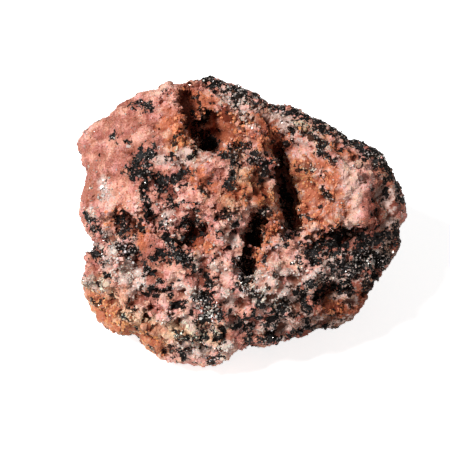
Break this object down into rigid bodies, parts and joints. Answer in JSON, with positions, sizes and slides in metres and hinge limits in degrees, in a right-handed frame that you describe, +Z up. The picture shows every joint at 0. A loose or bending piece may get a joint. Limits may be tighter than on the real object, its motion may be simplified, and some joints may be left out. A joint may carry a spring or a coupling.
{
  "type": "ephesite mineral specimen",
  "caption": "Hand specimen of granular pink ephesite rock with black grains, a deep crater, clefts and pits, lying on a flat natural break.",
  "frame": {"origin": "on the surface the specimen rests on, under the middle of its outline seen from above", "axes": "+Z up from the flat break it rests on, +X to the right along its longest side, the show face looks to -Y and up at 45 degrees"},
  "size_m": [0.066, 0.053, 0.0487],
  "materials": {
    "pink_ephesite": "granular salmon-pink mica rock with small pearly glints, mottled with black, rust and pale grains",
    "black_oxide": "black manganese oxide grains with a dull metallic glint",
    "rusty_ephesite": "orange to rust-brown stained crystals",
    "pale_mica": "pale grey-pink grains and pearly mica flakes"
  },
  "bodies": {
    "root": {"ephesite_rock": "pink_ephesite"}
  },
  "joints": []
}
